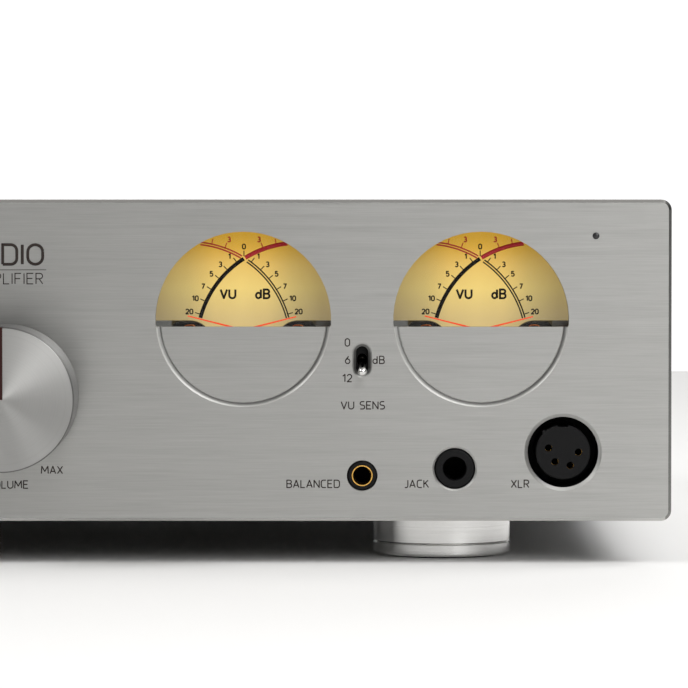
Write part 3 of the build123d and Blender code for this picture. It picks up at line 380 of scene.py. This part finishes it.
def drawing(name, lines, origin, facing, material, body="chassis"):
    """Printed lines as one flattened mesh on a panel. facing is -1 on the front and 1 on the rear."""
    curve = bpy.data.curves.new(name, "CURVE")
    curve.dimensions = "3D"
    curve.bevel_depth = 0.5
    curve.bevel_resolution = 1
    curve.use_fill_caps = True
    for points, stroke in lines:
        for run in straight_runs(points, stroke):
            spline = curve.splines.new("POLY")
            spline.points.add(len(run) - 1)
            for target, (x, y) in zip(spline.points, run):
                target.co = (x, y, 0.0, 1.0)
                target.radius = stroke
    source = bpy.data.objects.new(name + "_lines", curve)
    bpy.context.scene.collection.objects.link(source)
    bpy.context.view_layer.update()
    mesh = bpy.data.meshes.new_from_object(source.evaluated_get(bpy.context.evaluated_depsgraph_get()))
    bpy.data.objects.remove(source)
    axes = Matrix(((-facing, 0, 0, 0), (0, 0, facing * INK_RISE, 0), (0, 1, 0, 0), (0, 0, 0, 1)))
    mesh.transform(Matrix.Translation(origin) @ Matrix.Scale(MM, 4) @ axes)
    mesh.name = name
    return piece(name, mesh, material, body)


def piece(name, mesh, material, body):
    made = bpy.data.objects.new(name, mesh)
    bpy.context.scene.collection.objects.link(made)
    mesh.materials.clear()
    mesh.materials.append(material)
    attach(made, body)
    return made


# --- Finishes of the CAD nodes ------------------------------------------------------------------
def dress(material, *names):
    for name in names:
        nodes[name].data.materials.clear()
        nodes[name].data.materials.append(material)


SIDES = ("left", "right")
FEET = ("foot_front_left", "foot_front_right", "foot_rear_left", "foot_rear_right")
# Millimetres out from the panel face where the lever's painted shade stops.
LEVER_SHADE_LINE = 5.8

dress(brushed("panel_brushed", (0.465, 0.463, 0.448), 0.34, 0.016, 0.00024, 0.000003), "front_panel")
dress(grained("side_blasted", (0.42, 0.42, 0.41), 1.0, 0.42, 2600.0, 0.00002, 0.03), "side_panel_left",
      "side_panel_right")
dress(grained("case_coat", (0.19, 0.19, 0.187), 0.55, 0.45, 1600.0, 0.00003, 0.04), "top_cover",
      "bottom_plate")
dress(grained("rear_coat", (0.028, 0.028, 0.03), 0.0, 0.55, 1500.0, 0.00004), "rear_panel")
dress(grained("zinc", (0.55, 0.55, 0.56), 1.0, 0.35, 500.0, 0.00001), "front_subplate", "foot_bolts",
      "volume_spindle", "volume_control", "selector_spindle", "selector_switch")
dress(grained("black_oxide", (0.06, 0.06, 0.065), 1.0, 0.35, 900.0, 0.00001), "cover_screws",
      "rear_screws", "volume_set_screw")
# rim 0.39 paints shade on the knobs' chamfers and sides.
for knob in ("volume_knob", "selector_knob", "power_button"):
    dress(turned(knob + "_turned", knob, "Y", (0.44, 0.437, 0.426), 0.55, 0.0004, 0.0000006, 0.8, 0.39), knob)
for foot in FEET:
    dress(turned(foot + "_turned", foot, "Z", (0.82, 0.815, 0.80), 0.22, 0.0004, 0.000001, 0.6), foot)
dress(grained("pad_rubber", (0.02, 0.019, 0.018), 0.0, 0.8, 1200.0, 0.00005), "foot_pads")
dress(grained("meter_grey", (0.27, 0.27, 0.265), 0.0, 0.4), "meter_housing_left", "meter_housing_right")
dress(grained("movement_black", (0.012, 0.010, 0.008), 0.0, 0.35), "meter_movements_left",
      "meter_movements_right")
dress(glass_finish("pane"), "meter_window_left", "meter_window_right")
# The needles' emission is a painted glow; they are not lamps.
dress(glowing("needle_orange", (1.0, 0.075, 0.018), 0.85), *(
    kind + "_needle_" + side for kind in ("level", "second") for side in SIDES))
# The dark colour is painted shade on the lever's shaft; the tip stays chrome.
dress(tipped("lever_chrome", (0.75, 0.74, 0.73), FACE_Y - LEVER_SHADE_LINE * MM, (0.02, 0.018, 0.016)),
      "sensitivity_lever", "gain_lever")
dress(grained("socket_black", (0.005, 0.005, 0.0053), 0.0, 0.5, 2200.0, 0.00001, Specular_IOR_Level=0.14),
      "sensitivity_switch", "gain_switch", "power_switch", "balanced_socket", "jack_socket", "xlr_socket",
      "mains_inlet", "fuse_drawer")
dress(grained("rocker_gloss", (0.015, 0.015, 0.015), 0.0, 0.2, 1500.0, 0.000005), "power_rocker",
      "infrared_lens")
dress(glowing("lamp_amber", (1.0, 0.62, 0.25), 0.8), "power_lamp")
dress(grained("gold_plate", (0.86, 0.50, 0.12), 1.0, 0.2, 1200.0, 0.000004, 0.04), "balanced_ring",
      "contacts", "phono_jacks", "earth_terminal")
dress(grained("nickel_plate", (0.62, 0.61, 0.58), 1.0, 0.24, 1200.0, 0.000006, 0.04), "xlr_inputs",
      "xlr_latch_left", "xlr_latch_right")
dress(two_tone("phono_colours", BASE_Z + 45 * MM, (0.82, 0.81, 0.77), (0.55, 0.03, 0.025), 0.4),
      "phono_insulators")
dress(grained("solder_mask", (0.015, 0.11, 0.05), 0.0, 0.35, 500.0, 0.00002, 0.25), "circuit_boards")
dress(grained("sleeve", (0.02, 0.03, 0.07), 0.0, 0.25, 400.0, 0.00001, 0.15), "capacitors")
dress(grained("winding_tape", (0.62, 0.42, 0.08), 0.0, 0.4, 300.0, 0.0001, 0.2), "transformer")
dress(grained("heatsink_black", (0.03, 0.03, 0.032), 1.0, 0.5, 900.0, 0.00002), "heatsinks")

# --- Meters -------------------------------------------------------------------------------------
PIVOT_U = 15.55
PIVOT_V = -7.4
ARC_R = 29.1
ARC_START = 15.0
ARC_ZERO = 57.6
PAIR_ZERO = 55.3
OVER_START = 59.4
ARC_END = 84.0
SCALE_MARKS = (("20", 17.0, 0.0, 0.2), ("10", 24.8, 0.0, -0.1), ("7", 32.2, 0.0, -0.2),
               ("5", 39.7, 0.1, 0.0), ("3", 46.4, 0.1, 0.0), ("1", 53.2, 0.45, -0.1))
OVER_MARKS = (("3", 70.0, 0.25, 0.3), ("", 77.7, 0.0, 0.0))
PAIR_GAP = 0.7
PAIR_RADII = (ARC_R - PAIR_GAP / 2, ARC_R + PAIR_GAP / 2)
TICK = 0.28
FIGURE = 0.36

black_ink = grained("dial_black", (0.008, 0.006, 0.005), 0.0, 0.6, 1500.0, 0.000002, Specular_IOR_Level=0.15)
# The red print's faint emission is painted backlight showing through it.
red_ink = grained("dial_red", (0.5, 0.008, 0.015), 0.0, 0.5, 1500.0, 0.000002, Emission_Strength=0.1,
                  Emission_Color=(0.75, 0.01, 0.03, 1.0))


def on_arc(side, angle, radius):
    """Point on the scale read by the needle that pivots on that side (1 right, -1 left)."""
    a = math.radians(angle)
    return (side * (PIVOT_U - radius * math.cos(a)), PIVOT_V + radius * math.sin(a))


def sweep(side, start, end, radius, stroke, steps=24):
    points = [on_arc(side, start + (end - start) * i / steps, radius) for i in range(steps + 1)]
    return (points, stroke)


def scale_marks(side, marks, outer, height):
    """Ticks outside the arc, each with its number beyond it, moved out and up a little."""
    lines = []
    for label, angle, out, up in marks:
        lines.append(([on_arc(side, angle, outer), on_arc(side, angle, outer + 1.5)], TICK))
        reach = outer + 2.55 + 0.35 * text_width(label or "0") * height * abs(math.cos(math.radians(angle)))
        x, y = on_arc(side, angle, reach)
        if label:
            lines += word(label, x - side * out, y + up - height / 2 - 0.4, height, FIGURE, "centre")
    return lines


def dial_lines():
    black = [sweep(1, ARC_START, ARC_ZERO, ARC_R, 1.12)]
    black += [sweep(-1, ARC_START, PAIR_ZERO, radius, 0.4) for radius in PAIR_RADII]
    red = [sweep(1, OVER_START - 0.8, ARC_END, ARC_R, 1.22)]
    red += [sweep(-1, OVER_START, ARC_END, radius, 0.42) for radius in PAIR_RADII]
    for side in (1, -1):
        outer = ARC_R + 0.4
        black += scale_marks(side, SCALE_MARKS, outer, 1.35)
        red += scale_marks(side, OVER_MARKS, outer, 1.35)
    black += word("0", 0.0, 20.0, 1.35, FIGURE, "centre")
    black.append(([(0.0, 17.9), (0.0, 19.5)], TICK))
    black += word("VU", -4.6, 5.8, 2.5, 0.6, "centre")
    black += word("dB", 5.4, 5.8, 2.5, 0.6, "centre")
    return black, red


def coil_mesh(name, centre):
    """Small coil of copper wire: rounded rectangular turns, one behind another."""
    curve = bpy.data.curves.new(name, "CURVE")
    curve.dimensions = "3D"
    curve.bevel_depth = 0.16
    curve.bevel_resolution = 2
    turns, steps = 8, 12
    spline = curve.splines.new("POLY")
    spline.points.add(turns * steps)
    for i in range(turns * steps + 1):
        a = 2 * math.pi * i / steps
        x = 1.5 * math.copysign(abs(math.cos(a)) ** 0.6, math.cos(a))
        z = 0.95 * math.copysign(abs(math.sin(a)) ** 0.6, math.sin(a))
        spline.points[i].co = (x, 0.3 * i / steps, z, 1.0)
    source = bpy.data.objects.new(name + "_wire", curve)
    bpy.context.scene.collection.objects.link(source)
    bpy.context.view_layer.update()
    mesh = bpy.data.meshes.new_from_object(source.evaluated_get(bpy.context.evaluated_depsgraph_get()))
    bpy.data.objects.remove(source)
    mesh.transform(Matrix.Translation(centre) @ Matrix.Scale(MM, 4))
    return mesh


copper = grained("copper_wire", (0.75, 0.27, 0.08), 1.0, 0.3, 800.0, 0.000004)
black_lines, red_lines = dial_lines()
for side in SIDES:
    dial_low, dial_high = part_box("meter_dial_" + side)
    u = (dial_low.x + dial_high.x) / 2 / MM
    v = (dial_high.z - BASE_Z) / MM - 26.2
    w = (FACE_Y - dial_low.y) / MM
    dress(dial_finish("dial_gold_" + side, front(u, v, w)), "meter_dial_" + side)
    drawing("dial_print_" + side, black_lines, front(u, v, w + 0.02), -1, black_ink)
    drawing("dial_over_" + side, red_lines, front(u, v, w + 0.02), -1, red_ink)
    for tag, hand in (("a", -1), ("b", 1)):
        spot = front(u + hand * PIVOT_U, v + PIVOT_V + 4.6, w + 1.6)
        piece("coil_" + side + "_" + tag, coil_mesh("coil", spot), copper, "chassis")

# --- Lettering ----------------------------------------------------------------------------------
print_ink = grained("panel_ink", (0.026, 0.019, 0.016), 0.0, 0.6, 1500.0, 0.000002, Specular_IOR_Level=0.2)
pale_ink = grained("rear_ink", (0.62, 0.62, 0.60), 0.0, 0.5, 1500.0, 0.000002)
LABEL = 2.1
THIN = 0.33

front_words = []
front_words += word("AUDIO", 10.2, 73.5, 5.6, 0.85, "right")
front_words += word("AMPLIFIER", 10.2, 67.9, 3.0, 0.3, "right")
front_words.append(([(-12.2, 71.9), (11.2, 71.9)], 0.2))
front_words += word("BALANCED", 95.0, 9.6, LABEL, THIN, "right")
front_words += word("JACK", 120.5, 9.6, LABEL, THIN, "right")
front_words += word("XLR", 149.2, 9.6, LABEL, THIN, "right")
front_words += word("MAX", 9.7, 13.6, LABEL, THIN)
front_words += word("MIN", -9.7, 13.6, LABEL, THIN, "right")
front_words += word("VOLUME", 0, 9.4, LABEL, THIN, "centre")
for u, name in ((101.5, "VU SENS"), (-67.5, "GAIN")):
    front_words += word(name, u + 0.2, 32.1, LABEL, THIN, "centre")
    for number, v, edge in (("0", 50.1, 3.6), ("6", 45.1, 3.5), ("12", 39.9, 3.0)):
        front_words += word(number, u - edge, v, LABEL, THIN, "right")
    front_words += word("dB", u + 3.1, 45.1, LABEL, THIN)
front_words += word("INPUT", -101.5, 32.1, LABEL, THIN, "centre")
for number, angle in (("1", 120), ("2", 90), ("3", 60)):
    a = math.radians(angle)
    front_words += word(number, -101.5 + 17.5 * math.cos(a), 56.6 + 17.5 * math.sin(a), LABEL, THIN, "centre")
front_words += word("POWER", -144.5, 9.6, LABEL, THIN)
drawing("front_lettering", front_words, front(0, 0, 0.015), -1, print_ink)

rear_words = []
for index, u in enumerate((-20.0, -40.0, -60.0)):
    name = ("LINE 1", "LINE 2", "OUT")[index]
    rear_words += word(name, u, 74.0, LABEL, THIN, "centre")
for v, name in ((62.0, "L"), (28.0, "R")):
    rear_words += word(name, -9.0, v - 1.0, LABEL, THIN, "centre")
for u, name in ((-100.0, "BALANCED L"), (-142.0, "BALANCED R")):
    rear_words += word(name, u, 65.5, LABEL, THIN, "centre")
rear_words += word("FUSE", 121.0, 46.0, LABEL, THIN, "right")
rear_words += word("GND", 60.0, 10.5, LABEL, THIN, "centre")
drawing("rear_lettering", rear_words, rear(0, 0, 0.015), 1, pale_ink)


# --- Knob pointers ------------------------------------------------------------------------------
def pointer_mesh(name, knob, width):
    """Dark inlay in a knob's groove: along the face from its centre, then down the rim."""
    low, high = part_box(knob)
    centre = (low + high) / 2
    rim = (high.z - centre.z) / MM
    profile = [(0.0, 0.16), (rim - 0.45, 0.16), (rim - 0.15, 0.5), (rim - 0.15, 3.9), (rim - 0.45, 3.9),
               (rim - 0.45, 0.45), (0.0, 0.45)]
    points = [(centre.x + side * width / 2 * MM, low.y + depth * MM, centre.z + height * MM)
              for side in (-1, 1) for height, depth in profile]
    count = len(profile)
    faces = [tuple(range(count)), tuple(range(2 * count - 1, count - 1, -1))]
    faces += [(i, (i + 1) % count, count + (i + 1) % count, count + i) for i in range(count)]
    mesh = bpy.data.meshes.new(name)
    mesh.from_pydata(points, [], faces)
    return mesh


pointer_ink = grained("pointer_fill", (0.028, 0.006, 0.005), 0.0, 0.5, 1500.0, 0.000004,
                      Specular_IOR_Level=0.2)
for body, width in (("volume", 0.96), ("selector", 0.76)):
    name = body + "_pointer"
    piece(name, pointer_mesh(name, body + "_knob", width), pointer_ink, body)


# --- Stage, lights and camera -------------------------------------------------------------------
def plain_surface(name, size, place, turn, colour, glow=0.0):
    mesh = bpy.data.meshes.new(name)
    half = size / 2
    corners = [(-half, -half, 0), (half, -half, 0), (half, half, 0), (-half, half, 0)]
    mesh.from_pydata(corners, [], [(0, 1, 2, 3)])
    made = bpy.data.objects.new(name, mesh)
    bpy.context.scene.collection.objects.link(made)
    made.location = place
    made.rotation_euler = turn
    look = Finish(name, colour, 0.0, 0.8, Emission_Strength=glow)
    look.surface.inputs["Emission Color"].default_value = (1.0, 1.0, 1.0, 1.0)
    mesh.materials.append(look.material)


def softbox(name, place, size, power, colour=(1.0, 1.0, 1.0)):
    lamp = bpy.data.lights.new(name, "AREA")
    lamp.size = size
    lamp.energy = power
    lamp.color = colour
    made = bpy.data.objects.new(name, lamp)
    bpy.context.scene.collection.objects.link(made)
    made.location = place
    made.rotation_euler = (Vector((0, 0, 0.05)) - Vector(place)).to_track_quat("-Z", "Y").to_euler()


FLOOR_BACK = 1.2
scene = bpy.context.scene
scene.view_settings.view_transform = "Standard"
world = bpy.data.worlds.new("studio")
scene.world = world
world.use_nodes = True
world.node_tree.nodes["Background"].inputs[0].default_value = (1.0, 1.0, 1.0, 1.0)
world.node_tree.nodes["Background"].inputs[1].default_value = 0.17

plain_surface("floor", 8.0, (0, FLOOR_BACK - 4.0, 0), (0, 0, 0), (0.86, 0.855, 0.845))
plain_surface("backdrop", 7.5, (0, 6.0, 0), (math.radians(90), 0, 0), (0.8, 0.8, 0.8), 0.95)
softbox("key_right", (1.12, -0.9, 1.24), 0.9, 11.0)
softbox("key_left", (-1.12, -0.9, 1.24), 0.9, 12.2)
softbox("overhead", (0.1, 0.2, 2.2), 4.0, 12.0, (1.0, 0.97, 0.93))
softbox("front_top", (0.8, -2.0, 1.3), 1.5, 15.0)
softbox("front_right", (1.1, -1.7, 0.7), 0.8, 6.6)
softbox("spill_right", (0.95, 0.3, 0.9), 0.5, 4.2)
softbox("behind", (0.3, 1.9, 1.3), 1.2, 8.5)

VIEW_DISTANCE = 1.5
VIEW_U, VIEW_V = 96.3, 104.4
AIM_V = 50.7
FOCAL = 274.7

camera = bpy.data.cameras.new("camera")
camera.lens = FOCAL
camera.sensor_width = 36.0
camera.clip_end = 50.0
eye = bpy.data.objects.new("camera", camera)
scene.collection.objects.link(eye)
eye.location = front(VIEW_U, VIEW_V) - Vector((0, VIEW_DISTANCE, 0))
eye.rotation_euler = (front(VIEW_U, AIM_V) - eye.location).to_track_quat("-Z", "Y").to_euler()
scene.camera = eye
